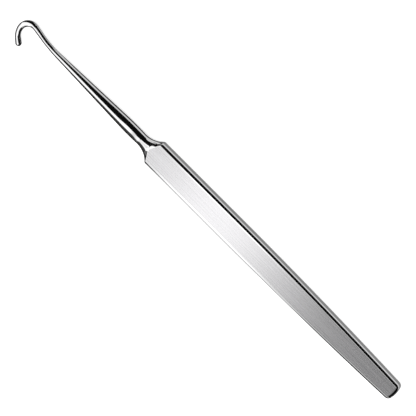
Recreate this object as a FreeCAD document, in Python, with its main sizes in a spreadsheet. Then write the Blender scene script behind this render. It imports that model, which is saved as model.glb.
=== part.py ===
# Blunt single-hook hand retractor, forged, ground and polished from one bar of stainless steel.
# Millimetres and degrees. +X runs along the tool towards the hook, +Z up out of the flat handle.
# The origin is the centre of the handle's flat underside, on which the tool lies.

import FreeCAD, Part
import math
import os

import Sketcher

# Driving sizes: name, value and what it measures
SIZES = (
    ("handle_length", 106.8, "handle, from the shoulder to the end of the tail"),
    ("handle_width", 8.9, "handle across its flat face, at full width"),
    ("handle_thick", 4.3, "handle from flat face to flat face"),
    ("edge_round", 1.1, "radius along the long edges of the handle"),
    ("taper_length", 73.0, "stretch of the handle over which it narrows to the tail"),
    ("tail_width", 6.0, "width that the taper reaches at the end of the tail"),
    ("tail_corner", 1.6, "corner radius at the end of the tail"),
    ("tail_bow", 9.0, "radius of the bowed end of the tail"),
    ("neck_dia", 4.1, "waist of the shank, where the flare starts"),
    ("flare_length", 5.6, "waist to shoulder"),
    ("rise_length", 2.3, "stretch before the shoulder over which the flare thickens"),
    ("corner_run", 0.35, "how far the flare runs on past the shoulder, to meet the rounded edges"),
    ("mouth_side", 0.1, "how far the flare passes the handle's side at the shoulder"),
    ("mouth_top", 1.2, "how far the flare passes the handle's face at the shoulder"),
    ("swell_rise", 0.09, "how far the belly of the shank stands above its waist"),
    ("swell_run", 4.4, "waist to the fullest point of the belly"),
    ("shank_length", 42.5, "shoulder to the start of the gooseneck"),
    ("bend_dia", 2.0, "shank at the start of the gooseneck"),
    ("wire_dia", 1.8, "wire of the gooseneck and of the hook's leg"),
    ("crown_dia", 2.1, "wire at the crown of the hook"),
    ("bulb_dia", 2.04, "blunt end of the hook"),
    ("goose_radius", 41.5, "gooseneck bend, to the wire's centre line"),
    ("goose_turn", 10.2, "turn of the gooseneck away from the hook's side"),
    ("goose_run", 3.7, "straight stretch between gooseneck and crown"),
    ("crown_radius", 3.1, "tight bend of the hook, to the centre line"),
    ("crown_turn", 106.5, "turn of the tight bend"),
    ("leg_radius", 4.9, "wider bend from the crown to the leg"),
    ("leg_turn", 44.0, "turn of the wider bend"),
    ("leg_run", 1.6, "straight end of the leg, up to the centre of the blunt end"),
)
SIZE = {name: value for name, value, note in SIZES}
FLARE_STEPS = 9          # ellipses that carry the flare from the waist to just past the shoulder
CUT_ROOM = 2.0           # how far the flare's cutter reaches past the handle all round
CORE_LEAD = 1.0          # how far the flare's core runs on past the waist

# Places worked out from the sizes, as expressions that the document keeps live
SHOULDER = "sizes.handle_length / 2"
MID_HEIGHT = "sizes.handle_thick / 2"
WAIST = SHOULDER + " + sizes.flare_length"
BEND = SHOULDER + " + sizes.shank_length"

doc = FreeCAD.newDocument("hook_retractor")
Vec = FreeCAD.Vector


# Sheet that holds the driving sizes
def add_sheet():
    sheet = doc.addObject("Spreadsheet::Sheet", "sizes")
    for row, (name, value, note) in enumerate(SIZES, start=1):
        sheet.set(f"A{row}", note)
        sheet.set(f"B{row}", str(value))
        sheet.setAlias(f"B{row}", name)
    doc.recompute()


# Sketch on one of the body's own origin planes, moved by live expressions
def add_sketch(body, name, role, **offset):
    sketch = body.newObject("Sketcher::SketchObject", name)
    plane = next(item for item in body.Origin.OriginFeatures if item.Role == role)
    sketch.AttachmentSupport = [(plane, "")]
    sketch.MapMode = "FlatFace"
    for axis, expression in offset.items():
        sketch.setExpression("AttachmentOffset.Base." + axis, expression)
    return sketch


# Constraint that takes its value from the sheet
def drive(sketch, name, expression, kind, *where):
    start = doc.getObject("sizes").evalExpression(expression.replace("sizes.", ""))
    value = getattr(start, "Value", start)
    if kind == "Angle":
        value = math.radians(value)
    index = sketch.addConstraint(Sketcher.Constraint(kind, *where, value))
    sketch.renameConstraint(index, name)
    if kind == "Angle":
        expression = f"({expression}) * 1 deg"
    sketch.setExpression("Constraints." + name, expression)


# Arc given by its centre and two end points, run anticlockwise from the first to the second
def arc_between(centre, start, end):
    radius = math.hypot(start[0] - centre[0], start[1] - centre[1])
    first = math.atan2(start[1] - centre[1], start[0] - centre[0])
    last = math.atan2(end[1] - centre[1], end[0] - centre[0])
    circle = Part.Circle(Vec(*centre, 0), Vec(0, 0, 1), radius)
    return Part.ArcOfCircle(circle, first, last if last > first else last + 2 * math.pi)


def line_between(start, end):
    return Part.LineSegment(Vec(*start, 0), Vec(*end, 0))


# Handle outline seen from above: parallel sides, a long gentle taper and a bowed, rounded tail
def draw_outline(sketch):
    half = SIZE["handle_width"] / 2
    drop = half - SIZE["tail_width"] / 2
    run = SIZE["taper_length"]
    front = SIZE["handle_length"] / 2 + SIZE["flare_length"]
    tail = -SIZE["handle_length"] / 2
    bow = SIZE["tail_bow"]
    corner = SIZE["tail_corner"]
    taper = (run ** 2 + drop ** 2) / (2 * drop)
    taper_x = tail + run
    # A near place for the tail's corner, which the constraints then settle
    corner_x, corner_y = tail + corner, half - drop - corner
    on_side = (corner_x, half - drop)
    on_bow = (tail, corner_y)

    def flip(point):
        return (point[0], -point[1])

    top = (taper_x, half)
    shapes = (
        line_between((front, half), top),
        arc_between((taper_x, half - taper), top, on_side),
        arc_between((corner_x, corner_y), on_side, on_bow),
        arc_between((tail + bow, 0), on_bow, flip(on_bow)),
        arc_between((corner_x, -corner_y), flip(on_bow), flip(on_side)),
        arc_between((taper_x, taper - half), flip(on_side), flip(top)),
        line_between(flip(top), (front, -half)),
        line_between((front, -half), (front, half)),
    )
    for shape in shapes:
        sketch.addGeometry(shape, False)
    start, end, centre, x_axis, origin = 1, 2, 3, -1, -1
    last = len(shapes) - 1
    for index in range(last - 1):
        sketch.addConstraint(Sketcher.Constraint("Tangent", index, end, index + 1, start))
    sketch.addConstraint(Sketcher.Constraint("Coincident", last - 1, end, last, start))
    sketch.addConstraint(Sketcher.Constraint("Coincident", last, end, 0, start))
    sketch.addConstraint(Sketcher.Constraint("Vertical", last))
    sketch.addConstraint(Sketcher.Constraint("Horizontal", 0))
    sketch.addConstraint(Sketcher.Constraint("Horizontal", 6))
    sketch.addConstraint(Sketcher.Constraint("PointOnObject", 3, centre, x_axis))
    sketch.addConstraint(Sketcher.Constraint("Symmetric", 0, end, 6, start, x_axis))
    sketch.addConstraint(Sketcher.Constraint("Equal", 2, 4))
    sketch.addConstraint(Sketcher.Constraint("Equal", 1, 5))
    drive(sketch, "front", WAIST, "DistanceX", origin, 1, 0, start)
    drive(sketch, "half_width", "sizes.handle_width / 2", "DistanceY", origin, 1, 0, end)
    drive(sketch, "taper_end", "sizes.handle_length / 2 - sizes.taper_length",
          "DistanceX", 0, end, origin, 1)
    drop = "((sizes.handle_width - sizes.tail_width) / 2)"
    drive(sketch, "taper", f"(sizes.taper_length ^ 2 + {drop} ^ 2) / (2 * {drop})", "Radius", 1)
    drive(sketch, "corner", "sizes.tail_corner", "Radius", 2)
    drive(sketch, "bow", "sizes.tail_bow", "Radius", 3)
    drive(sketch, "bow_centre", "sizes.handle_length / 2 - sizes.tail_bow",
          "DistanceX", 3, centre, origin, 1)


# Flat handle bar, reaching forward to the waist, with its long edges and tail edges rounded
def add_handle_bar():
    body = doc.addObject("PartDesign::Body", "handle_bar")
    outline = add_sketch(body, "handle_outline", "XY_Plane")
    draw_outline(outline)
    pad = body.newObject("PartDesign::Pad", "handle_pad")
    pad.Profile = outline
    pad.setExpression("Length", "sizes.handle_thick")
    doc.recompute()
    edges = []
    front = SIZE["handle_length"] / 2 + SIZE["flare_length"]
    for number, edge in enumerate(pad.Shape.Edges, start=1):
        box = edge.BoundBox
        level = box.ZLength < 1e-6
        at_front = box.XMin > front - 1e-6
        if level and not at_front:
            edges.append(f"Edge{number}")
    rounding = body.newObject("PartDesign::Fillet", "handle_rounding")
    rounding.Base = (pad, edges)
    rounding.setExpression("Radius", "sizes.edge_round")
    body.Tip = rounding
    return body


# Growth of the flare at a run from the waist towards the shoulder: one arc, level at the waist
def flare_arc(run, rise, length):
    radius = f"((({length}) ^ 2 + ({rise}) ^ 2) / (2 * ({rise})))"
    return f"({radius} - sqrt({radius} ^ 2 - ({run}) ^ 2))"


# Core of the flare: ellipses that grow along one arc in plan and a shorter one in height
def add_flare_core():
    rings = []
    side_rise = "sizes.handle_width / 2 + sizes.mouth_side - sizes.neck_dia / 2"
    top_rise = "sizes.handle_thick / 2 + sizes.mouth_top - sizes.neck_dia / 2"
    reach = "(sizes.flare_length + sizes.corner_run)"
    steps = [(f"{WAIST} + {CORE_LEAD}", "0", "0"), (WAIST, "0", "0")]
    for step in range(1, FLARE_STEPS + 1):
        run = f"{reach} * {math.sin(math.pi / 2 * step / FLARE_STEPS):.6f}"
        top_run = f"max(0; {run} - (sizes.flare_length - sizes.rise_length))"
        steps.append((f"{WAIST} - {run}", flare_arc(run, side_rise, "sizes.flare_length"),
                      flare_arc(top_run, top_rise, "sizes.rise_length")))
    for number, (place, side_growth, top_growth) in enumerate(steps, start=1):
        ring = doc.addObject("Part::Ellipse", f"flare_ring_{number}")
        ring.Placement = FreeCAD.Placement(Vec(), FreeCAD.Rotation(Vec(1, 1, 1), 120))
        ring.setExpression("MajorRadius", f"sizes.neck_dia / 2 + {side_growth}")
        ring.setExpression("MinorRadius", f"sizes.neck_dia / 2 + {top_growth}")
        ring.setExpression("Placement.Base.x", place)
        ring.setExpression("Placement.Base.z", MID_HEIGHT)
        rings.append(ring)
    core = doc.addObject("Part::Loft", "flare_core")
    core.Sections = rings
    core.Solid = True
    core.Ruled = False
    return core


# Handle with the flare ground into its front end
def add_handle():
    block = doc.addObject("Part::Box", "flare_block")
    block.setExpression("Length", f"sizes.corner_run + sizes.flare_length + {CORE_LEAD / 2}")
    block.setExpression("Width", f"sizes.handle_width + {2 * CUT_ROOM}")
    block.setExpression("Height", f"sizes.handle_thick + {2 * CUT_ROOM}")
    block.setExpression("Placement.Base.x", SHOULDER + " - sizes.corner_run")
    block.setExpression("Placement.Base.y", f"-sizes.handle_width / 2 - {CUT_ROOM}")
    block.Placement.Base.z = -CUT_ROOM
    cutter = doc.addObject("Part::Cut", "flare_cutter")
    cutter.Base = block
    cutter.Tool = add_flare_core()
    handle = doc.addObject("Part::Cut", "handle")
    handle.Base = add_handle_bar()
    handle.Tool = cutter
    return handle


# Shank profile from the waist over its slight belly and down the long taper to the gooseneck
def draw_shank(sketch):
    waist = (SIZE["handle_length"] / 2 + SIZE["flare_length"], SIZE["neck_dia"] / 2)
    end = (SIZE["handle_length"] / 2 + SIZE["shank_length"], SIZE["bend_dia"] / 2)
    rise, run = SIZE["swell_rise"], SIZE["swell_run"]
    radius = (run ** 2 + rise ** 2) / (2 * rise)
    centre = (waist[0] + run, waist[1] + rise - radius)
    gap = (end[0] - centre[0], end[1] - centre[1])
    reach = math.hypot(*gap)
    angle = math.atan2(gap[1], gap[0]) + math.acos(radius / reach)
    touch = (centre[0] + radius * math.cos(angle), centre[1] + radius * math.sin(angle))
    shapes = (
        arc_between(centre, touch, waist),
        line_between(touch, end),
        line_between(end, (end[0], 0)),
        line_between((end[0], 0), (waist[0], 0)),
        line_between((waist[0], 0), waist),
    )
    for shape in shapes:
        sketch.addGeometry(shape, False)
    start, finish, middle, x_axis, origin = 1, 2, 3, -1, -1
    sketch.addConstraint(Sketcher.Constraint("Tangent", 0, start, 1, start))
    for index in (1, 2, 3):
        sketch.addConstraint(Sketcher.Constraint("Coincident", index, finish, index + 1, start))
    sketch.addConstraint(Sketcher.Constraint("Coincident", 4, finish, 0, finish))
    sketch.addConstraint(Sketcher.Constraint("Vertical", 2))
    sketch.addConstraint(Sketcher.Constraint("Vertical", 4))
    sketch.addConstraint(Sketcher.Constraint("PointOnObject", 3, start, x_axis))
    sketch.addConstraint(Sketcher.Constraint("PointOnObject", 3, finish, x_axis))
    drive(sketch, "waist", WAIST, "DistanceX", origin, 1, 0, finish)
    drive(sketch, "waist_radius", "sizes.neck_dia / 2", "DistanceY", origin, 1, 0, finish)
    drive(sketch, "bend", BEND, "DistanceX", origin, 1, 1, finish)
    drive(sketch, "bend_radius", "sizes.bend_dia / 2", "DistanceY", origin, 1, 1, finish)
    drive(sketch, "belly", WAIST + " + sizes.swell_run", "DistanceX", origin, 1, 0, middle)
    drive(sketch, "belly_radius",
          "(sizes.swell_run ^ 2 + sizes.swell_rise ^ 2) / (2 * sizes.swell_rise)", "Radius", 0)


# Round shank, turned about the tool's long axis
def add_shank():
    body = doc.addObject("PartDesign::Body", "shank")
    profile = add_sketch(body, "shank_profile", "XZ_Plane", y=MID_HEIGHT)
    draw_shank(profile)
    turned = body.newObject("PartDesign::Revolution", "shank_turned")
    turned.Profile = profile
    turned.ReferenceAxis = (profile, ["H_Axis"])
    turned.Angle = 360
    body.Tip = turned
    return body


# Centre line of the hook: gooseneck, straight run, tight crown, wider leg bend and straight leg
def draw_hook_line(sketch):
    point = (SIZE["handle_length"] / 2 + SIZE["shank_length"], 0.0)
    heading = 0.0
    turns = (
        (SIZE["goose_radius"], -SIZE["goose_turn"]),
        (SIZE["goose_run"], 0),
        (SIZE["crown_radius"], SIZE["crown_turn"]),
        (SIZE["leg_radius"], SIZE["leg_turn"]),
        (SIZE["leg_run"], 0),
    )
    for length, turn in turns:
        ahead = (math.cos(heading), math.sin(heading))
        if turn == 0:
            following = (point[0] + length * ahead[0], point[1] + length * ahead[1])
            sketch.addGeometry(line_between(point, following), False)
        else:
            side = 1 if turn > 0 else -1
            centre = (point[0] - side * length * ahead[1], point[1] + side * length * ahead[0])
            heading += math.radians(turn)
            following = (centre[0] + side * length * math.sin(heading),
                         centre[1] - side * length * math.cos(heading))
            ends = (point, following) if side > 0 else (following, point)
            sketch.addGeometry(arc_between(centre, *ends), False)
        point = following
    goose, run, crown, leg, tip = range(5)
    start, end, centre, x_axis, origin = 1, 2, 3, -1, -1
    # The gooseneck arc runs backwards, so its sketch end is the hook line's start
    joins = ((goose, start, run, start), (run, end, crown, start),
             (crown, end, leg, start), (leg, end, tip, start))
    for join in joins:
        sketch.addConstraint(Sketcher.Constraint("Tangent", *join))
    sketch.addConstraint(Sketcher.Constraint("PointOnObject", goose, end, x_axis))
    sketch.addConstraint(Sketcher.Constraint("Vertical", goose, centre, goose, end))
    drive(sketch, "bend", BEND, "DistanceX", origin, 1, goose, end)
    drive(sketch, "goose_radius", "sizes.goose_radius", "Radius", goose)
    drive(sketch, "goose_turn", "sizes.goose_turn", "Angle", goose)
    drive(sketch, "goose_run", "sizes.goose_run", "Distance", run)
    drive(sketch, "crown_radius", "sizes.crown_radius", "Radius", crown)
    drive(sketch, "crown_turn", "sizes.crown_turn", "Angle", crown)
    drive(sketch, "leg_radius", "sizes.leg_radius", "Radius", leg)
    drive(sketch, "leg_turn", "sizes.leg_turn", "Angle", leg)
    drive(sketch, "leg_run", "sizes.leg_run", "Distance", tip)


# Name of the edge that a stretch of the hook line has in the sketch's finished shape
def edge_name(line, stretch):
    curve = line.Geometry[stretch]
    middle = line.Placement.multVec(curve.value((curve.FirstParameter + curve.LastParameter) / 2))
    edges = line.Shape.Edges
    nearest = min(range(len(edges)), key=lambda k: edges[k].distToShape(Part.Vertex(middle))[0])
    return f"Edge{nearest + 1}"


# Round section square to one stretch of the hook line, at a fraction of that stretch
def add_section(body, line, name, stretch, fraction, diameter):
    sketch = body.newObject("Sketcher::SketchObject", name)
    sketch.AttachmentSupport = [(line, edge_name(line, stretch))]
    sketch.MapMode = "NormalToEdge"
    sketch.MapPathParameter = fraction
    sketch.addGeometry(Part.Circle(Vec(), Vec(0, 0, 1), SIZE["wire_dia"] / 2), False)
    sketch.addConstraint(Sketcher.Constraint("Coincident", 0, 3, -1, 1))
    drive(sketch, "diameter", diameter, "Diameter", 0)
    return sketch


# Hook: a round wire that thins along the gooseneck, fills out at the crown and ends in a bulb
def add_hook():
    body = doc.addObject("PartDesign::Body", "hook")
    line = add_sketch(body, "hook_line", "XY_Plane", z=MID_HEIGHT)
    draw_hook_line(line)
    doc.recompute()
    goose, run, crown, leg, tip = range(5)
    near_crown = "(sizes.wire_dia + sizes.crown_dia) / 2"
    # The gooseneck arc runs backwards, so its last point is where the hook line starts
    places = (
        (goose, 1.0, "sizes.bend_dia"),
        (goose, 0.5, "sizes.wire_dia"),
        (goose, 0.0, "sizes.wire_dia"),
        (run, 1.0, near_crown),
        (crown, 0.5, "sizes.crown_dia"),
        (crown, 1.0, near_crown),
        (leg, 0.5, "sizes.wire_dia"),
        (leg, 1.0, "(sizes.wire_dia + sizes.bulb_dia) / 2"),
        (tip, 1.0, "sizes.bulb_dia"),
    )
    sections = [add_section(body, line, f"hook_section_{index}", *place)
                for index, place in enumerate(places, start=1)]
    doc.recompute()
    wire = body.newObject("PartDesign::AdditivePipe", "hook_wire")
    wire.Profile = sections[0]
    wire.Spine = (line, [edge_name(line, stretch) for stretch in range(5)])
    wire.Sections = [(section, [""]) for section in sections[1:]]
    wire.Transformation = "Multisection"
    bulb = body.newObject("PartDesign::AdditiveSphere", "hook_bulb")
    bulb.AttachmentSupport = [(line, edge_name(line, tip))]
    bulb.MapMode = "NormalToEdge"
    bulb.MapPathParameter = 1.0
    bulb.setExpression("Radius", "sizes.bulb_dia / 2")
    bulb.Angle1 = -90
    bulb.Angle2 = 0
    body.Tip = bulb
    return body


# The whole tool, one forging
def add_tool():
    tool = doc.addObject("Part::MultiFuse", "hook_retractor")
    tool.Label = "hook_retractor"
    tool.Shapes = [add_handle(), add_shank(), add_hook()]
    tool.Refine = True
    tool.Placement = FreeCAD.Placement(Vec(0, 0, 0), FreeCAD.Rotation())
    return tool


# Every object has to have worked before anything is written
def check_document():
    for item in doc.Objects:
        if "Invalid" in item.State or "Error" in item.State:
            raise RuntimeError(f"{item.Name} failed: {item.State}")


def write_part(item):
    shape = item.Shape
    if shape.isNull() or not shape.isValid() or len(shape.Solids) != 1:
        raise RuntimeError(f"{item.Label} is not one sound solid")
    os.makedirs("parts", exist_ok=True)
    shape.exportStep(f"parts/{item.Label}.step")
    box = shape.BoundBox
    print(f"{item.Label}: {box.XLength:.2f} x {box.YLength:.2f} x {box.ZLength:.2f} mm, "
          f"{shape.Volume:.1f} mm3, {len(shape.Faces)} faces")


add_sheet()
tool = add_tool()
doc.recompute()
check_document()
write_part(tool)
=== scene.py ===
# %% [markdown]
# A blunt hook retractor is forged from one bar of stainless steel. Its flat handle is brushed to
# a satin finish, and its edges, shank and hook are polished like a mirror. The solid model comes
# first and fixes every size. The cells below give it its finished surface, a studio and a camera.

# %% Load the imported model, which fixes every place and size
import math

import bmesh
import bpy
import numpy as np
from mathutils import Matrix, Vector


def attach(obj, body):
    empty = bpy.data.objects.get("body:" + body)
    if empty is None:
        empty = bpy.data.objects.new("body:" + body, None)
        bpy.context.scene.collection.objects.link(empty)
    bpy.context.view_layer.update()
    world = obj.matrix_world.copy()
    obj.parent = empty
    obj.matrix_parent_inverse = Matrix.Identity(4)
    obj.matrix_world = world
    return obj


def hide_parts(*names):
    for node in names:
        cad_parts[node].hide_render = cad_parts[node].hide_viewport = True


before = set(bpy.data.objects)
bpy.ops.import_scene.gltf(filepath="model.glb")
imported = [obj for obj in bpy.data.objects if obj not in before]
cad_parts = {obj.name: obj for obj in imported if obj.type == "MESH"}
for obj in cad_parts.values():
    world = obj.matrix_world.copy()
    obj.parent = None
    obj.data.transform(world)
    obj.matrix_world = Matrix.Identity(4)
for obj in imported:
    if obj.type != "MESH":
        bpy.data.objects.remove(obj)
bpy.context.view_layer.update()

# %% [markdown]
# The camera looks down on the flat handle from about 20 degrees to one side, so a narrow side
# shows too. The whole tool lies on the picture's diagonal with its hook at the upper left. The
# lens is long, as in a catalogue picture, so that the two ends of the tool show at one scale.
# A matrix built from three directions (right, up and back) holds the camera without guesswork.

# %% Place the camera
CAMERA_TILT = math.radians(19.0)      # how far the view leans towards the -Y side
CAMERA_DISTANCE = 1.3                 # metres
PICTURE_WIDTH = 0.130                 # metres that the picture spans at the tool
SENSOR = 36.0                         # millimetres
AIM = Vector((0.0291, 0.0006, 0.0021))    # the place that the middle of the picture shows

back = Vector((0.0, -math.sin(CAMERA_TILT), math.cos(CAMERA_TILT)))
along = Vector((1.0, 0.0, 0.0))
across = Vector((0.0, math.cos(CAMERA_TILT), math.sin(CAMERA_TILT)))
right = -(along + across).normalized()
up = (along - across).normalized()

lens = bpy.data.cameras.new("product_lens")
lens.sensor_width = SENSOR
lens.lens = SENSOR * CAMERA_DISTANCE / PICTURE_WIDTH
camera = bpy.data.objects.new("camera", lens)
bpy.context.scene.collection.objects.link(camera)
camera.matrix_world = Matrix.Translation(AIM + back * CAMERA_DISTANCE) @ Matrix(
    (right, up, back)).transposed().to_4x4()
bpy.context.scene.camera = camera
print("lens, mm:", round(lens.lens))

# %% [markdown]
# The tool's skin is one closed net of points: rings that follow the tool from its tail to the
# tip of the hook, each with the same number of points. A turned or subdivided box could give a
# shank, but not the flare, where a flat bar turns into a round rod with a crisp arch. Sizes are
# in millimetres, as on a drawing, and they are those of the solid model.

# %% Sizes of the tool and of its net
HALF_LENGTH = 106.8 / 2               # handle, from its middle to the shoulder
HALF_WIDTH = 8.9 / 2
HALF_THICK = 4.3 / 2
EDGE_ROUND = 1.1
TAPER_LENGTH, TAIL_WIDTH = 73.0, 6.0
TAIL_CORNER, TAIL_BOW = 1.6, 9.0
NECK_RADIUS = 4.1 / 2
FLARE_LENGTH, RISE_LENGTH, CORNER_RUN = 5.6, 2.3, 0.35
MOUTH_SIDE, MOUTH_TOP = 0.1, 1.2
SWELL_RISE, SWELL_RUN = 0.09, 4.4
SHANK_LENGTH = 42.5
MM = 0.001                            # a millimetre in metres

FLAT_STEPS, ROUND_STEPS = 26, 14      # points over a flat face and over a rounded edge
SATIN_END = 0.952                     # share of the flat face where the brushing stops
BUFFED_SHARES = (0.962, 0.985)        # further places on the flat face, in its buffed border
SIDE_SHARES = (0.96, 0.5, 0.0)        # places on the narrow side, as shares of half its height


def arc_radius(length, rise):
    """Radius of an arc that starts level and gains `rise` over `length`, by Pythagoras:
    (length^2 + rise^2) / (2 * rise)."""
    return (length ** 2 + rise ** 2) / (2 * rise)


def circle_growth(run, rise, length):
    """Growth along such an arc of radius R after `run`: R - sqrt(R^2 - run^2)."""
    radius = arc_radius(length, rise)
    return radius - np.sqrt(radius ** 2 - run ** 2)


def smooth_step(low, high, value):
    """0 below low, 1 above high, and 3t^2 - 2t^3 in between."""
    t = np.clip((value - low) / (high - low), 0.0, 1.0)
    return t * t * (3 - 2 * t)


print("radius of the taper's side, mm:", round(arc_radius(TAPER_LENGTH, HALF_WIDTH - TAIL_WIDTH / 2)))

# %% [markdown]
# Half of a handle ring runs from the middle of the top face, over the rounded edge, down the
# narrow side and back under to the middle of the bottom face. Each point is told by three
# numbers: its share of the flat face, its share of the rounded edge and its height. The same
# three lists serve every ring of the handle, however wide the handle is there.

# %% Half ring of the handle
flat = np.append(np.linspace(0, SATIN_END, FLAT_STEPS), BUFFED_SHARES)
turn = np.linspace(0, math.pi / 2, ROUND_STEPS + 1)
side = np.array(SIDE_SHARES)
flat_share = np.concatenate([flat, np.ones(len(turn)), np.ones(len(side))])
edge_share = np.concatenate([0 * flat, np.sin(turn), np.ones(len(side))])
height = np.concatenate([0 * flat + HALF_THICK,
                         HALF_THICK - EDGE_ROUND + EDGE_ROUND * np.cos(turn),
                         side * (HALF_THICK - EDGE_ROUND)])


def fold_down(values, sign=1):
    """The lower half of the list repeats the upper half backwards, below the middle height."""
    return np.concatenate([values, sign * values[-2::-1]])


flat_share, edge_share = fold_down(flat_share), fold_down(edge_share)
height = fold_down(height, -1)
satin_share = (flat_share <= SATIN_END).astype(float)
HALF_COUNT = len(height) - 1
print("points in a ring:", 2 * HALF_COUNT)


def close_rings(halves):
    """Each ring gets its -Y half as the mirror image of its +Y half."""
    mirrored = halves[:, -2:0:-1].copy()
    mirrored[..., 1] *= -1
    return np.concatenate([halves, mirrored], axis=1)


# %% [markdown]
# Seen from above, the handle runs straight, then tapers along an arc far too wide to notice,
# and ends in two tight corners and a slightly bowed end. These arcs touch without a kink, so one
# number finds any place on the outline: the direction in which its edge faces, from 90 degrees
# on the straight side to 180 at the end.

# %% Outline of the tail
tail_x = -HALF_LENGTH
taper_radius = arc_radius(TAPER_LENGTH, HALF_WIDTH - TAIL_WIDTH / 2)
taper_centre = np.array([tail_x + TAPER_LENGTH, HALF_WIDTH - taper_radius])
bow_centre = np.array([tail_x + TAIL_BOW, 0.0])


def meet(first, reach_first, second, reach_second):
    """Upper point at two given distances from two centres: walk along the line between the
    centres to the foot of the height, then up by the height (Pythagoras)."""
    between = second - first
    gap = np.hypot(*between)
    foot = (gap ** 2 + reach_first ** 2 - reach_second ** 2) / (2 * gap)
    rise = math.sqrt(reach_first ** 2 - foot ** 2)
    unit = between / gap
    options = [first + unit * foot + rise * s * np.array([-unit[1], unit[0]]) for s in (1, -1)]
    return min(options, key=lambda point: point[0])


corner_centre = meet(taper_centre, taper_radius - TAIL_CORNER, bow_centre, TAIL_BOW - TAIL_CORNER)
taper_end = math.atan2(*(corner_centre - taper_centre)[::-1])
corner_end = math.atan2(*(corner_centre - bow_centre)[::-1])
print("the tail's corner faces, degrees:", round(math.degrees(taper_end)), "to",
      round(math.degrees(corner_end)))


def outline(facing):
    """Place on the outline: the centre of its arc plus the arc's radius along the facing."""
    on_taper = (facing <= taper_end)[:, None]
    on_corner = (facing <= corner_end)[:, None]
    centre = np.where(on_taper, taper_centre, np.where(on_corner, corner_centre, bow_centre))
    radius = np.where(on_taper, taper_radius, np.where(on_corner, TAIL_CORNER, TAIL_BOW))
    normal = np.stack([np.cos(facing), np.sin(facing)], axis=1)
    return centre + radius * normal, normal


# %% [markdown]
# A rib runs across the handle from its spine to its outline, square to the outline there. Ribs
# on the straight part lie side by side. Round the tail they have to fan out like the sticks of
# a fan, so their inner ends move along the spine more slowly than their outer ends.

# %% Rings of the handle, from the end of the tail to the straight part
FAN_LENGTH = 9.0                      # stretch of the tail in which the ribs fan out
FAN_PACE = 0.6                        # how fast a rib's inner end follows its outer end there
END_RIBS, CORNER_RIBS, TAPER_RIBS, STRAIGHT_RIBS = 12, 32, 40, 20


def handle_rings(edge, normal):
    """A point of a rib is spine + flat share * (border - spine) + edge share * r * normal. The
    border is the outline moved in by the edge radius r."""
    border = edge - EDGE_ROUND * normal
    fan_start = tail_x + FAN_LENGTH
    spine_x = np.maximum(border[:, 0], fan_start + FAN_PACE * (border[:, 0] - fan_start))
    spine = np.stack([spine_x, 0 * spine_x], axis=1)
    plan = (spine[:, None] + flat_share[:, None] * (border - spine)[:, None]
            + EDGE_ROUND * edge_share[:, None] * normal[:, None])
    halves = np.dstack([plan, np.broadcast_to(height, plan.shape[:2])])
    return close_rings(halves)


facings = np.concatenate([np.linspace(math.pi, corner_end, END_RIBS),
                          np.linspace(corner_end, taper_end, CORNER_RIBS)[1:],
                          np.linspace(taper_end, math.pi / 2, TAPER_RIBS)[1:]])
tail_rings = handle_rings(*outline(facings))

flare_start = HALF_LENGTH - CORNER_RUN
straight_x = np.linspace(taper_centre[0], flare_start, STRAIGHT_RIBS)[1:]
straight_edge = np.stack([straight_x, 0 * straight_x + HALF_WIDTH], axis=1)
straight_rings = handle_rings(straight_edge, np.tile([0.0, 1.0], (len(straight_x), 1)))
satin_ring = np.concatenate([satin_share, satin_share[-2:0:-1]])
print("handle rings:", len(tail_rings) + len(straight_rings))

# %% [markdown]
# At the shoulder the smith's bar is ground into a round neck. Two shapes meet there: the bar's
# section and an ellipse that shrinks towards the neck. The steel that stays is what lies inside
# both, so along each direction from the tool's middle the nearer of the two skins counts. That
# leaves the arch on the flat face. Polishing wears such an edge, so the two skins blend where
# they meet, and the blend catches a line of light.

# %% Reach of the bar and of the ellipse from the tool's middle


def bar_reach(angle):
    """Distance from the middle to the handle's rounded section along an angle from the top:
    the nearer of the flat face and the side, or the corner circle where it lies between."""
    out, rise = np.abs(np.sin(angle)), np.abs(np.cos(angle))
    corner = np.array([HALF_WIDTH - EDGE_ROUND, HALF_THICK - EDGE_ROUND])
    tiny = 1e-9
    face = HALF_THICK / np.maximum(rise, tiny)
    wall = HALF_WIDTH / np.maximum(out, tiny)
    lead = out * corner[0] + rise * corner[1]
    arc = lead + np.sqrt(np.maximum(lead ** 2 - corner @ corner + EDGE_ROUND ** 2, 0))
    on_face = face * out <= corner[0]
    on_wall = wall * rise <= corner[1]
    return np.where(on_face, face, np.where(on_wall, wall, arc)), on_face


def ellipse_reach(angle, half_side, half_top):
    """Distance from the middle to an ellipse: 1 / sqrt((sin/a)^2 + (cos/b)^2)."""
    return 1 / np.sqrt((np.sin(angle) / half_side) ** 2 + (np.cos(angle) / half_top) ** 2)


def nearer(first, second, blend):
    """Smooth minimum: a straight mix of the two, less blend * h * (1 - h) where they meet."""
    h = np.clip(0.5 + (second - first) / (2 * blend), 0, 1)
    return second * (1 - h) + first * h - blend * h * (1 - h)


top_reach = bar_reach(np.array([0.0, math.pi / 2]))[0]
print("reach of the bar upwards and sideways, mm:", top_reach.round(2).tolist())

# %% [markdown]
# Seen from above, the ellipse shrinks along one long arc from just outside the bar to the neck.
# Seen from the side it sinks faster, along a short arc, which is why the arch lies on the flat
# face and not at its end. The rings stand closer together where the two skins meet.

# %% Rings of the flare
ARCH_ROUND = 0.30                     # radius of the worn edge between face and flare
SOFTEN = (0.02, 0.28)                 # least and most that the two skins blend over
STEEPEST = 0.95                       # sine of the steepest slope that the blend counts with
FINE_STEP, FINE_END, COARSE_START = 0.04, 1.9, 1.95
COARSE_RINGS = 34
neck_x = HALF_LENGTH + FLARE_LENGTH
rise = HALF_THICK + MOUTH_TOP - NECK_RADIUS

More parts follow.
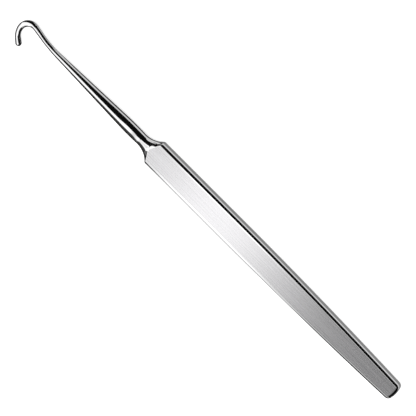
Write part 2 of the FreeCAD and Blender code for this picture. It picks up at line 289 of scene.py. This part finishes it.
flare_x = np.concatenate([np.arange(flare_start, HALF_LENGTH + FINE_END, FINE_STEP)[1:],
                          np.linspace(HALF_LENGTH + COARSE_START, neck_x, COARSE_RINGS)])[:, None]
run = neck_x - flare_x
top_run = np.maximum(run - (FLARE_LENGTH - RISE_LENGTH), 0)
half_side = NECK_RADIUS + circle_growth(run, HALF_WIDTH + MOUTH_SIDE - NECK_RADIUS, FLARE_LENGTH)
half_top = NECK_RADIUS + circle_growth(top_run, rise, RISE_LENGTH)

bar_angle = np.arctan2(flat_share * (HALF_WIDTH - EDGE_ROUND) + EDGE_ROUND * edge_share, height)
even_angle = np.linspace(0, math.pi, HALF_COUNT + 1)
evening = smooth_step(HALF_LENGTH, neck_x, flare_x)
angle = (1 - evening) * bar_angle + evening * even_angle

bar, on_face = bar_reach(angle)
ellipse = ellipse_reach(angle, half_side, half_top)
slope = np.arcsin(np.minimum(top_run / arc_radius(RISE_LENGTH, rise), STEEPEST))
soften = np.clip(ARCH_ROUND * np.tan(slope) * np.tan(slope / 2), *SOFTEN)
reach = nearer(bar, ellipse, soften)
flare_out = reach * np.sin(angle)
halves = np.dstack([np.broadcast_to(flare_x, angle.shape), flare_out, reach * np.cos(angle)])
flare_rings = close_rings(halves)
print("flare rings:", len(flare_rings))

# %% [markdown]
# The brushing stops a tenth of a millimetre short of the arch, where the buffing wheel ran over
# its edge. The arch is where the ellipse is as high as the flat face, and the distance of every
# point of the skin to the nearest place on it says whether the point is satin.

# %% Satin value on the flare
BUFFED_RIM = 0.10                     # width of the buffed rim along the arch
RIM_SOFT = 0.04                       # half the width of the change to satin
ARCH_PLACES = 400

arch_x = np.linspace(flare_start, neck_x, ARCH_PLACES)
arch_top = np.interp(arch_x, flare_x[:, 0], half_top[:, 0])
arch_side = np.interp(arch_x, flare_x[:, 0], half_side[:, 0])
open_arch = arch_top > HALF_THICK
arch_y = arch_side * np.sqrt(np.where(open_arch, 1 - (HALF_THICK / arch_top) ** 2, 0))
arch = np.column_stack([arch_x, arch_y])[open_arch]
to_arch = np.hypot(flare_x[..., None] - arch[:, 0], flare_out[..., None] - arch[:, 1]).min(axis=-1)
brushed = smooth_step(BUFFED_RIM - RIM_SOFT, BUFFED_RIM + RIM_SOFT, to_arch)
inside_border = flare_out <= SATIN_END * (HALF_WIDTH - EDGE_ROUND) + 0.001
half_satin = on_face * (ellipse > bar) * brushed * inside_border
flare_satin = np.concatenate([half_satin, half_satin[:, -2:0:-1]], axis=1)
print("satin points on the flare:", int((flare_satin > 0.5).sum()))

# %% [markdown]
# The shank is turned round: a slight belly behind the neck, then a long straight taper. The hook
# is the same rod bent cold: a gentle gooseneck away from the hook's side, a tight crown, a wider
# bend and a short straight leg with a ball end. A bend is easiest to follow by its heading, which
# changes evenly with the distance walked, and the places then come from adding up short steps.

# %% Rings of the shank and of the hook
BEND_X = HALF_LENGTH + SHANK_LENGTH
STRETCHES = (                         # length in millimetres and turn in degrees
    (41.5 * math.radians(10.2), -10.2),     # gooseneck
    (3.7, 0.0),                             # straight run
    (3.1 * math.radians(106.5), 106.5),     # crown
    (4.9 * math.radians(44.0), 44.0),       # wider bend
    (1.6, 0.0),                             # straight leg
)
HOOK_RADII = (1.0, 0.9, 0.9, 0.975, 1.05, 0.975, 0.9, 0.96, 1.018)
WALK_STEP = 0.14
TIP_STEPS = 16


def round_rings(centre, heading, radius):
    """Circles square to the heading: centre + r * (sin a * sideways + cos a * up)."""
    spin = np.arange(2 * HALF_COUNT) * math.pi / HALF_COUNT
    sideways = np.stack([-np.sin(heading), np.cos(heading), 0 * heading], axis=1)
    reach = sideways[:, None] * np.sin(spin)[:, None] + np.array([0, 0, 1]) * np.cos(spin)[:, None]
    flat_centre = np.column_stack([centre, 0 * heading])
    return flat_centre[:, None] + radius[:, None, None] * reach


def smooth_through(knots, values, where):
    """Cubic curve through the knots, with the slope at each knot taken from its neighbours."""
    slope = np.gradient(values, knots)
    k = np.clip(np.searchsorted(knots, where, side="right") - 1, 0, len(knots) - 2)
    span = knots[k + 1] - knots[k]
    t = (where - knots[k]) / span
    rise = values[k + 1] - values[k]
    return (values[k] + rise * (3 * t ** 2 - 2 * t ** 3)
            + span * (slope[k] * (t - 2 * t ** 2 + t ** 3) + slope[k + 1] * (t ** 3 - t ** 2)))


belly_radius = arc_radius(SWELL_RUN, SWELL_RISE)
belly = np.array([neck_x + SWELL_RUN, NECK_RADIUS + SWELL_RISE - belly_radius])
bend = np.array([BEND_X, HOOK_RADII[0]])
gap = bend - belly
touch_angle = math.atan2(gap[1], gap[0]) + math.acos(belly_radius / np.hypot(*gap))
touch = belly + belly_radius * np.array([math.cos(touch_angle), math.sin(touch_angle)])
shank_x = np.linspace(neck_x, BEND_X, 60)[1:-1]
belly_run = np.minimum(shank_x - belly[0], touch[0] - belly[0])
on_belly = belly[1] + np.sqrt(belly_radius ** 2 - belly_run ** 2)
on_taper = touch[1] + (bend[1] - touch[1]) * (shank_x - touch[0]) / (bend[0] - touch[0])
shank_radius = np.where(shank_x < touch[0], on_belly, on_taper)
shank_rings = round_rings(np.column_stack([shank_x, 0 * shank_x]), 0 * shank_x, shank_radius)

ends = np.concatenate([[0], np.cumsum([length for length, turn in STRETCHES])])
headings = np.radians(np.concatenate([[0], np.cumsum([turn for length, turn in STRETCHES])]))
walked = np.linspace(0, ends[-1], int(ends[-1] / WALK_STEP))
heading = np.interp(walked, ends, headings)
halfway = (heading[1:] + heading[:-1]) / 2
steps = np.diff(walked)[:, None] * np.column_stack([np.cos(halfway), np.sin(halfway)])
line = np.array([BEND_X, 0]) + np.concatenate([[[0, 0]], np.cumsum(steps, axis=0)])
middles = (ends[1:] + ends[:-1]) / 2
knots = np.array([0, middles[0], ends[1], ends[2], middles[2], ends[3], middles[3],
                  ends[4], ends[5]])
hook_rings = round_rings(line, heading, smooth_through(knots, np.array(HOOK_RADII), walked))

cap = np.linspace(0, math.pi / 2, TIP_STEPS)[1:]
ahead = np.array([math.cos(heading[-1]), math.sin(heading[-1])])
cap_line = line[-1] + HOOK_RADII[-1] * np.sin(cap)[:, None] * ahead
cap_rings = round_rings(cap_line, 0 * cap + heading[-1], HOOK_RADII[-1] * np.cos(cap))
print("shank, hook and tip rings:", len(shank_rings), len(hook_rings), len(cap_rings))

# %% [markdown]
# The rings are joined into one net of four-sided faces. Where the two sides of the tail meet
# and where the tip closes, points fall together, and they are welded so that the skin is one
# closed surface with no seam. A value kept on each point says how satin the steel is there.

# %% Join the rings into one closed skin
WELD = 1e-7                           # metres


def skin(name, rings, satin):
    """Face (i, j) joins ring i to ring i + 1 between points j and j + 1, round and round."""
    count, around = rings.shape[:2]
    index = np.arange(count * around).reshape(count, around)
    after = np.roll(index, -1, axis=1)
    quads = np.stack([index[:-1], after[:-1], after[1:], index[1:]], axis=-1).reshape(-1, 4)
    mesh = bpy.data.meshes.new(name)
    mesh.from_pydata(rings.reshape(-1, 3), [], quads.tolist())
    values = mesh.attributes.new("satin", "FLOAT", "POINT")
    values.data.foreach_set("value", satin.reshape(-1).astype(np.float32))
    shell = bmesh.new()
    shell.from_mesh(mesh)
    bmesh.ops.remove_doubles(shell, verts=shell.verts, dist=WELD)
    bmesh.ops.recalc_face_normals(shell, faces=shell.faces)
    shell.to_mesh(mesh)
    open_edges = sum(1 for edge in shell.edges if len(edge.link_faces) != 2)
    shell.free()
    mesh.shade_smooth()
    print(name, "faces:", len(mesh.polygons), "open edges:", open_edges)
    return mesh


rings = np.concatenate([tail_rings, straight_rings, flare_rings, shank_rings, hook_rings, cap_rings])
plain = np.zeros((len(shank_rings) + len(hook_rings) + len(cap_rings), 2 * HALF_COUNT))
handle_satin = np.tile(satin_ring, (len(tail_rings) + len(straight_rings), 1))
satin = np.concatenate([handle_satin, flare_satin, plain])
rings[..., 2] += HALF_THICK
retractor = bpy.data.objects.new("polished_retractor", skin("polished_retractor", rings * MM, satin))
bpy.context.scene.collection.objects.link(retractor)
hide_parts("hook_retractor")
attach(retractor, "root")

# %% [markdown]
# Brushing draws fine scratches along the handle. They could be painted on an image, but a noise
# that is stretched a hundred times along the tool gives them at any distance. The group below
# holds that noise at two widths, and hands out the streaks as values between 0 and 1.

# %% Node group for the lengthwise brush marks
FINE_SIZE = 0.35                      # size of the fine streaks beside the broad ones
NOISE_RANGE = (0.3, 0.7)              # where nearly all values of the noise lie


def new_group(name, inputs, outputs):
    """An empty node group with its sockets, and its two end nodes."""
    tree = bpy.data.node_groups.new(name, "ShaderNodeTree")
    for label, kind, value in inputs:
        tree.interface.new_socket(label, in_out="INPUT", socket_type=kind).default_value = value
    for label, kind in outputs:
        tree.interface.new_socket(label, in_out="OUTPUT", socket_type=kind)
    return tree, tree.nodes.new("NodeGroupInput"), tree.nodes.new("NodeGroupOutput")


def add_math(tree, kind, first, second):
    """A Math node fed by sockets or plain numbers."""
    node = tree.nodes.new("ShaderNodeMath")
    node.operation = kind
    for socket, value in zip(node.inputs, (first, second)):
        if isinstance(value, bpy.types.NodeSocket):
            tree.links.new(value, socket)
        else:
            socket.default_value = value
    return node.outputs[0]


def brush_marks():
    """Noise read at a place whose X is squeezed, so that each grain becomes a long streak. It is
    read twice, the second time at about a third of the size, and the two are mixed."""
    number = "NodeSocketFloat"
    tree, start, end = new_group("brush_marks", (
        ("Streak Width", number, 0.00042), ("Streak Length", number, 0.045),
        ("Fine Share", number, 0.5)), (("Marks", number), ("Height", number)))
    place = tree.nodes.new("ShaderNodeTexCoord").outputs["Object"]
    finish = []
    for shrink, seed in ((1.0, 0.0), (FINE_SIZE, 7.0)):
        scale = tree.nodes.new("ShaderNodeCombineXYZ")
        for axis, size in (("X", "Streak Length"), ("Y", "Streak Width"), ("Z", "Streak Width")):
            fine = add_math(tree, "MULTIPLY", start.outputs[size], shrink)
            tree.links.new(add_math(tree, "DIVIDE", 1.0, fine), scale.inputs[axis])
        stretched = tree.nodes.new("ShaderNodeVectorMath")
        stretched.operation = "MULTIPLY"
        tree.links.new(place, stretched.inputs[0])
        tree.links.new(scale.outputs[0], stretched.inputs[1])
        noise = tree.nodes.new("ShaderNodeTexNoise")
        noise.noise_dimensions = "4D"
        noise.inputs["W"].default_value = seed
        noise.inputs["Scale"].default_value = 1.0
        noise.inputs["Detail"].default_value = 3.0
        noise.inputs["Roughness"].default_value = 0.6
        tree.links.new(stretched.outputs[0], noise.inputs["Vector"])
        finish.append(noise.outputs[0])
    mix = tree.nodes.new("ShaderNodeMix")
    tree.links.new(start.outputs["Fine Share"], mix.inputs[0])
    tree.links.new(finish[0], mix.inputs[2])
    tree.links.new(finish[1], mix.inputs[3])
    spread = tree.nodes.new("ShaderNodeMapRange")
    tree.links.new(mix.outputs[0], spread.inputs["Value"])
    spread.inputs["From Min"].default_value = NOISE_RANGE[0]
    spread.inputs["From Max"].default_value = NOISE_RANGE[1]
    tree.links.new(spread.outputs[0], end.inputs["Marks"])
    tree.links.new(finish[1], end.inputs["Height"])
    return tree


marks_group = brush_marks()
print("sockets of", marks_group.name, [item.name for item in marks_group.interface.items_tree])

# %% [markdown]
# The steel is one metal with two finishes, so it is one material. The satin value on the skin
# mixes them: brushed faces are rougher and a little darker, and their brightness wanders along
# the brush marks, while the polished parts are smooth and even.

# %% Stainless steel, satin on the flat faces and polished elsewhere
POLISHED_COLOR = (0.86, 0.86, 0.865, 1.0)
SATIN_LIGHT = (0.86, 0.85, 0.865, 1.0)
SATIN_DARK = (0.60, 0.595, 0.605, 1.0)
POLISHED_ROUGH = 0.06
SATIN_ROUGH = (0.24, 0.31)
SATIN_STREAK = 0.85                   # how much more the brushing spreads light across itself
SCRATCH_DEPTH = 2e-6                  # metres


def stainless_steel(marks):
    """Mixes polished and satin values by the skin's satin value. On a Mix node, sockets 2 and 3
    are the two numbers, and 6 and 7 the two colours."""
    material = bpy.data.materials.new("stainless_steel")
    material.use_nodes = True
    tree = material.node_tree
    steel = tree.nodes["Principled BSDF"]
    steel.inputs["Metallic"].default_value = 1.0
    steel.inputs["Anisotropic"].default_value = SATIN_STREAK
    grain_way = tree.nodes.new("ShaderNodeTangent")
    grain_way.direction_type = "RADIAL"
    grain_way.axis = "X"
    tree.links.new(grain_way.outputs[0], steel.inputs["Tangent"])
    skin_value = tree.nodes.new("ShaderNodeAttribute")
    skin_value.attribute_name = "satin"
    grain = tree.nodes.new("ShaderNodeGroup")
    grain.node_tree = marks

    satin_color = tree.nodes.new("ShaderNodeMix")
    satin_color.data_type = "RGBA"
    tree.links.new(grain.outputs["Marks"], satin_color.inputs[0])
    satin_color.inputs[6].default_value = SATIN_DARK
    satin_color.inputs[7].default_value = SATIN_LIGHT
    color = tree.nodes.new("ShaderNodeMix")
    color.data_type = "RGBA"
    tree.links.new(skin_value.outputs["Fac"], color.inputs[0])
    color.inputs[6].default_value = POLISHED_COLOR
    tree.links.new(satin_color.outputs[2], color.inputs[7])
    tree.links.new(color.outputs[2], steel.inputs["Base Color"])

    satin_rough = tree.nodes.new("ShaderNodeMapRange")
    tree.links.new(grain.outputs["Marks"], satin_rough.inputs["Value"])
    satin_rough.inputs["To Min"].default_value = SATIN_ROUGH[0]
    satin_rough.inputs["To Max"].default_value = SATIN_ROUGH[1]
    rough = tree.nodes.new("ShaderNodeMix")
    tree.links.new(skin_value.outputs["Fac"], rough.inputs[0])
    rough.inputs[2].default_value = POLISHED_ROUGH
    tree.links.new(satin_rough.outputs[0], rough.inputs[3])
    tree.links.new(rough.outputs[0], steel.inputs["Roughness"])

    bump = tree.nodes.new("ShaderNodeBump")
    bump.inputs["Distance"].default_value = SCRATCH_DEPTH
    tree.links.new(skin_value.outputs["Fac"], bump.inputs["Strength"])
    tree.links.new(grain.outputs["Height"], bump.inputs["Height"])
    tree.links.new(bump.outputs[0], steel.inputs["Normal"])
    return material


retractor.data.materials.append(stainless_steel(marks_group))

# %% [markdown]
# Polished steel shows the room more than itself, so the room is part of the picture. A
# photographer sets a soft white panel above the tool, black card beside it and grey card low
# down. Here one long tunnel round the tool holds all of them: how bright it is at each place is
# worked out below. It is seen only in reflections, like a card just outside the picture.

# %% Brightness of the light tunnel
BLACK = 0.004                         # what black card still throws back


def band(value, low, high, soft):
    """1 between low and high, 0 outside, and smooth over `soft` at both ends."""
    risen = smooth_step(low - soft, low + soft, value)
    return risen * (1 - smooth_step(high - soft, high + soft, value))


def face_light(x):
    """The white panel's brightness along the tool. It peaks over the handle's front half, which
    gives the satin face its slow shading, and is even and bright over the shank."""
    peak = np.exp(-((x - 24.5) / 34) ** 2)
    return (0.34 + 1.41 * peak + 0.85 * smooth_step(59, 74, x)) * smooth_step(-160, -120, x)


def tunnel_glow(x, lean):
    """Brightness by place along the tool, in millimetres, and lean from straight up towards the
    -Y side, in degrees. From +Y to -Y lie a low card, the white panel, black card and grey card.
    Over the tail the panel's two borders are brighter than its middle."""
    panel_start = np.interp(x, [52, 62, 83, 97, 108, 119, 150, 180],
                            [-60, -44, -49, -50, -54, -56, -46, -42])
    black_start = np.interp(x, [0, 40, 53, 60, 83, 95, 100, 110, 130, 175, 200, 300, 500],
                            [6, 0, -3, 6, 6, 0, -8, -8, 4, 14, 18, 25, 30])
    grey_start = np.interp(x, [97, 106, 119, 130, 180, 240], [92, 78, 69, 65, 62, 62])
    low_side = (0.06 + 0.56 * band(x, -25, 50, 8)) * (1 - smooth_step(50, 60, x))
    low_side = low_side + 0.05 * band(x, 55, 190, 8)
    low_side = low_side + 0.14 * smooth_step(115, 190, x)
    panel = face_light(x)
    edge_light = 1.1 * (1 - smooth_step(-32, -26, lean)) + 1.5 * smooth_step(-10, -4, lean)
    panel = panel * (1 + (edge_light - 0.40) * (1 - smooth_step(-40, 0, x)))
    panel = panel * (1 - 0.7 * smooth_step(440, 500, x) * (1 - smooth_step(-32, -24, lean)))
    glow = low_side * (1 - smooth_step(-1.5, 1.5, lean - panel_start))
    to_black = smooth_step(-1, 1, (lean - black_start) / (1.5 + 5 * smooth_step(130, 220, x)))
    glow = glow + panel * smooth_step(-1.5, 1.5, lean - panel_start) * (1 - to_black)
    glow = glow + BLACK * to_black
    grey = (0.72 - 0.28 * smooth_step(230, 270, x)) * smooth_step(-160, -120, x)
    grey = grey * (1 - smooth_step(400, 440, x))
    glow = glow + grey * smooth_step(-1.5, 1.5, lean - grey_start)
    fill = band(x, -315, -190, 15) * band(lean, -72, -45, 4)
    return np.maximum(glow, 0.75 * fill)


print("tunnel over the face:", [round(float(tunnel_glow(26, at)), 2) for at in (-80, -20, 40, 89)])

# %% [markdown]
# A card on the table round the tool draws its outlines, because the steel's lowest sides mirror
# it. It is dark close to the tool, and grey or black further out.

# %% Brightness of the card on the table
OUTWARD_PLACES = 80                   # places of the hook's line before it turns back


def card_glow(x, y):
    """Brightness of the card on the floor by place in millimetres: dark close to the tool, which
    draws its outline, grey further out on the -Y side, black on the +Y side of the shank."""
    middle = np.interp(x, line[:OUTWARD_PLACES, 0], line[:OUTWARD_PLACES, 1])
    reach = np.interp(x, [-50, -20, 53, 58, 64, 69, 76, 90, 97, 104],
                      [4.8, 6.4, 6.4, 6.2, 6.4, 7.2, 8.2, 8.5, 3.8, 3.6])
    out = y - middle
    beside = 0.26 - 0.18 * smooth_step(52, 58, x)
    light = beside + (0.72 - beside) * smooth_step(reach - 0.4, reach + 0.4, -out)
    light = light * (1 - 0.9 * smooth_step(96, 98, x) * smooth_step(11, 16, -y))
    handle_far = 0.06 + 0.50 * band(x, -25, 50, 8)
    far = handle_far + (0.02 - handle_far) * smooth_step(50, 58, x)
    glow = np.where(out < 0, light, beside + (far - beside) * smooth_step(0.2, 1.0, out))
    past_hook = np.maximum(smooth_step(109.5, 111, x), smooth_step(8.0, 9.5, y) * (x > 103))
    to_grey = past_hook * smooth_step(4, 18, y)
    under_hook = np.maximum(smooth_step(100, 102, x) * smooth_step(-3.0, -2.2, y), past_hook)
    glow = glow * (1 - under_hook) + 0.02 * under_hook
    return glow * (1 - to_grey) + 0.12 * to_grey


print("card beside the handle:", round(float(card_glow(26, -5)), 2))

# %% [markdown]
# All cards share one way of making them: a sheet of faces, a brightness kept on each point and a
# material that only glows. They throw no light on the tool, so they shape its reflections alone.

# %% Material and sheet of a card


def glow_material(name, clear_behind):
    """Plain light whose strength is a value kept on each point. A card can be clear from
    behind, so that it serves one part of the tool and leaves the rest alone."""
    material = bpy.data.materials.new(name)
    material.use_nodes = True
    tree = material.node_tree
    tree.nodes.clear()
    value = tree.nodes.new("ShaderNodeAttribute")
    value.attribute_name = "glow"
    light = tree.nodes.new("ShaderNodeEmission")
    tree.links.new(value.outputs["Fac"], light.inputs["Strength"])
    shader = light.outputs[0]
    if clear_behind:
        sides = tree.nodes.new("ShaderNodeMixShader")
        facing = tree.nodes.new("ShaderNodeNewGeometry")
        tree.links.new(facing.outputs["Backfacing"], sides.inputs[0])
        tree.links.new(shader, sides.inputs[1])
        tree.links.new(tree.nodes.new("ShaderNodeBsdfTransparent").outputs[0], sides.inputs[2])
        shader = sides.outputs[0]
    tree.links.new(shader, tree.nodes.new("ShaderNodeOutputMaterial").inputs[0])
    material.cycles.emission_sampling = "NONE"
    return material


def add_card(name, places, glow, material):
    """A sheet of faces over a grid of places, seen in reflections only."""
    rows, columns = glow.shape
    index = np.arange(rows * columns).reshape(rows, columns)
    quads = np.stack([index[:-1, :-1], index[1:, :-1], index[1:, 1:], index[:-1, 1:]], axis=-1)
    mesh = bpy.data.meshes.new(name)
    mesh.from_pydata(places.reshape(-1, 3), [], quads.reshape(-1, 4).tolist())
    values = mesh.attributes.new("glow", "FLOAT", "POINT")
    values.data.foreach_set("value", glow.reshape(-1).astype(np.float32))
    mesh.materials.append(material)
    card = bpy.data.objects.new(name, mesh)
    bpy.context.scene.collection.objects.link(card)
    card.visible_camera = False
    card.visible_diffuse = False
    card.visible_shadow = False


card_light = glow_material("card_light", False)
near_card = glow_material("near_card", True)
print("card materials:", card_light.name, near_card.name)

# %% [markdown]
# The tunnel closes round the tool and at both ends. The card on the table is finely divided near
# the tool and coarsely further out. Two small black cards, clear from behind, stand beside the
# shoulder and the hook, and darken one side of the flare and of the gooseneck.

# %% Put up the cards
TUNNEL_RADIUS = 0.30
TAIL_WALL, HOOK_WALL = -0.40, 0.50    # where the tunnel ends
CARD_LIFT = 0.00005                   # keeps the card clear of the table
ALONG_PLACES, ROUND_PLACES = 181, 241     # places along the tunnel and round it

end_reach = np.linspace(0, TUNNEL_RADIUS, 20)
profile_x = np.concatenate([0 * end_reach + TAIL_WALL, np.linspace(TAIL_WALL, HOOK_WALL, ALONG_PLACES),
                            0 * end_reach + HOOK_WALL])
profile_reach = np.concatenate([end_reach, np.full(ALONG_PLACES, TUNNEL_RADIUS), end_reach[::-1]])
tunnel_x, lean = np.meshgrid(profile_x, np.linspace(-90, 90, ROUND_PLACES), indexing="ij")
tunnel = np.dstack([tunnel_x, -profile_reach[:, None] * np.sin(np.radians(lean)),
                    profile_reach[:, None] * np.cos(np.radians(lean))])
add_card("light_tunnel", tunnel, tunnel_glow(tunnel_x / MM, lean), card_light)

near = np.concatenate([np.arange(0, 0.012, 0.0002), np.geomspace(0.012, TUNNEL_RADIUS, 24)])
card_rows = np.concatenate([np.linspace(TAIL_WALL, 0.044, 40), np.arange(0.045, 0.116, 0.0005),
                            np.geomspace(0.116, HOOK_WALL, 20)])
card_x, card_y = np.meshgrid(card_rows, np.concatenate([-near[:0:-1], near]), indexing="ij")
card = np.dstack([card_x, card_y, 0 * card_x + CARD_LIFT])
add_card("floor_card", card, card_glow(card_x / MM, card_y / MM), card_light)

fin_y, fin_z = np.meshgrid([-0.0051, -0.0074], [0.0001, 0.0032], indexing="ij")
fin = np.dstack([0 * fin_y + 0.062, fin_y, fin_z])
add_card("shoulder_card", fin, 0 * fin_y + BLACK, near_card)
wall_x, wall_z = np.meshgrid([0.150, 0.108], [0.0001, 0.012], indexing="ij")
wall = np.dstack([wall_x, 0 * wall_x - 0.014, wall_z])
add_card("hook_card", wall, 0 * wall_x + BLACK, near_card)
print("places of the tunnel and of the card:", tunnel_x.size, card_x.size)

# %% [markdown]
# The table is a wide white sheet. To the camera it glows a little, so that it ends up as pure
# white as a catalogue page, and it still takes the tool's soft shadow from the lamp above.

# %% White table, lamp and world
WHITE = (1.0, 1.0, 1.0, 1.0)
TABLE_HALF = 6.0                      # metres
TABLE_GLOW = 0.7                      # brings the lit paper up to white where it is seen
ROOM_LIGHT, ROOM_SEEN = 0.4, 0.6      # together 1, which is white


def seen_directly(tree):
    """1 for rays from the camera, or by way of a mirror or glass, and 0 for stray light."""
    rays = tree.nodes.new("ShaderNodeLightPath")
    seen = add_math(tree, "MAXIMUM", rays.outputs["Is Camera Ray"], rays.outputs["Is Glossy Ray"])
    return add_math(tree, "MAXIMUM", seen, rays.outputs["Is Transmission Ray"])


def table_material():
    """White paper that also glows by itself where it is seen directly."""
    material = bpy.data.materials.new("white_table")
    material.use_nodes = True
    tree = material.node_tree
    tree.nodes.clear()
    paper = tree.nodes.new("ShaderNodeBsdfDiffuse")
    paper.inputs["Color"].default_value = (0.9, 0.9, 0.9, 1.0)
    light = tree.nodes.new("ShaderNodeEmission")
    tree.links.new(add_math(tree, "MULTIPLY", seen_directly(tree), TABLE_GLOW), light.inputs["Strength"])
    both = tree.nodes.new("ShaderNodeAddShader")
    tree.links.new(paper.outputs[0], both.inputs[0])
    tree.links.new(light.outputs[0], both.inputs[1])
    tree.links.new(both.outputs[0], tree.nodes.new("ShaderNodeOutputMaterial").inputs[0])
    material.cycles.emission_sampling = "NONE"
    return material


table_mesh = bpy.data.meshes.new("white_table")
corners = [(-1, -1, 0), (1, -1, 0), (1, 1, 0), (-1, 1, 0)]
table_mesh.from_pydata(corners, [], [(0, 1, 2, 3)])
table_mesh.transform(Matrix.Scale(TABLE_HALF, 4))
table_mesh.materials.append(table_material())
table = bpy.data.objects.new("white_table", table_mesh)
bpy.context.scene.collection.objects.link(table)

lamp = bpy.data.lights.new("soft_lamp", "AREA")
lamp.shape = "DISK"
lamp.size = 0.9
lamp.energy = 9.0
lamp_object = bpy.data.objects.new("soft_lamp", lamp)
bpy.context.scene.collection.objects.link(lamp_object)
lamp_object.location = (0.1, 0.2, 1.2)
lamp_object.rotation_euler = (-lamp_object.location).to_track_quat("-Z", "Y").to_euler()
lamp_object.visible_glossy = False

world = bpy.data.worlds.new("white_room")
bpy.context.scene.world = world
world.use_nodes = True
sky = world.node_tree.nodes["Background"]
sky.inputs["Color"].default_value = WHITE
bright = add_math(world.node_tree, "MULTIPLY", seen_directly(world.node_tree), ROOM_SEEN)
world.node_tree.links.new(add_math(world.node_tree, "ADD", bright, ROOM_LIGHT), sky.inputs["Strength"])
bpy.context.scene.view_settings.view_transform = "Standard"
print("table, metres across:", 2 * TABLE_HALF)
